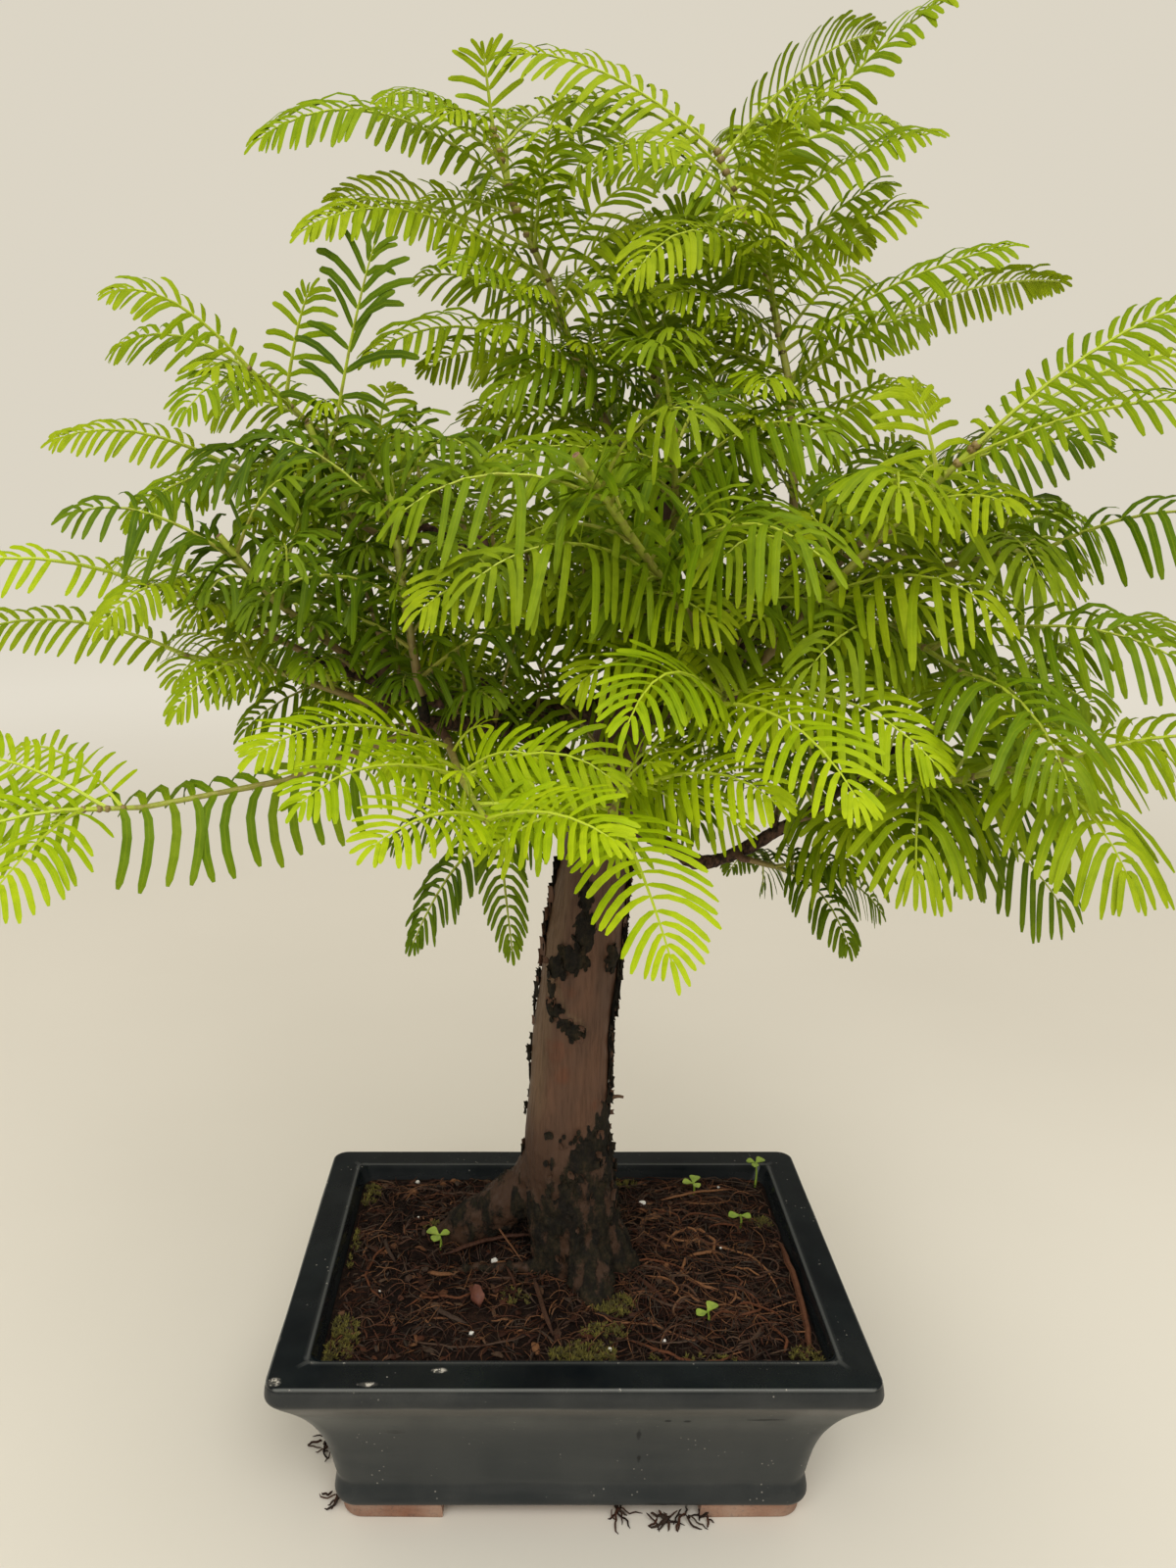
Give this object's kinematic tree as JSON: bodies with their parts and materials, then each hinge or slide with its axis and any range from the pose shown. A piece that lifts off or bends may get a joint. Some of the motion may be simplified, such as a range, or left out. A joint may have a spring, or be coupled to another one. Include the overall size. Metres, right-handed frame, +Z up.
{
  "type": "potted bonsai tree",
  "caption": "Dawn redwood bonsai with an upright trunk and flat feathery fronds, growing in soil in a rectangular glazed pot on corner feet.",
  "frame": {"origin": "on the table under the centre of the pot", "axes": "+Z up, +X to the viewer's right and -Y towards the viewer of the picture"},
  "size_m": [0.3601, 0.3279, 0.5],
  "materials": {
    "glaze": "glossy dark blue-green glaze with a dusty satin wall and bare clay feet",
    "netting": "matte black",
    "soil": "moist red-brown mulch of bark fibre, roots and moss",
    "bark": "smooth peeling reddish bark, rough and mossy at the base",
    "seedling_green": "soft bright green",
    "leaf_lime": "soft young leaf, lime green",
    "leaf_bright": "soft leaf, yellow-green",
    "leaf_mid": "soft leaf, mid green",
    "leaf_dark": "soft leaf, dark green in shade"
  },
  "bodies": {
    "root": {"pot": "glaze", "drain_mesh_left": "netting", "drain_mesh_right": "netting", "soil": "soil", "trunk": "bark", "seedling_1": "seedling_green", "seedling_2": "seedling_green", "seedling_3": "seedling_green", "seedling_4": "seedling_green", "seedling_5": "seedling_green", "leader_left": "leaf_bright", "leader_right": "leaf_bright", "leader_centre": "leaf_mid", "left_high": "leaf_bright", "left_stub_high": "leaf_dark", "left_mid": "leaf_bright", "left_long": "leaf_bright", "left_lower": "leaf_bright", "left_stub_mid": "leaf_dark", "left_stub_low": "leaf_dark", "left_low_branch": "leaf_mid", "front_left": "leaf_lime", "front_centre": "leaf_lime", "front_right": "leaf_lime", "shoot_right": "leaf_bright", "right_upper": "leaf_mid", "right_mid": "leaf_mid", "right_back": "leaf_dark", "right_low_front": "leaf_mid", "right_low_long": "leaf_bright", "right_low": "leaf_dark", "right_wide": "leaf_mid", "right_under": "leaf_dark", "left_under": "leaf_dark", "centre_stub": "leaf_mid", "centre_upright": "leaf_mid", "centre_bright": "leaf_bright", "back_top": "leaf_mid", "back_left_high": "leaf_bright", "back_left_mid": "leaf_mid", "back_mid": "leaf_bright", "back_low_left": "leaf_bright", "back_low": "leaf_dark", "back_right": "leaf_mid", "back_right_low": "leaf_dark", "back_low_right": "leaf_mid"}
  },
  "joints": []
}
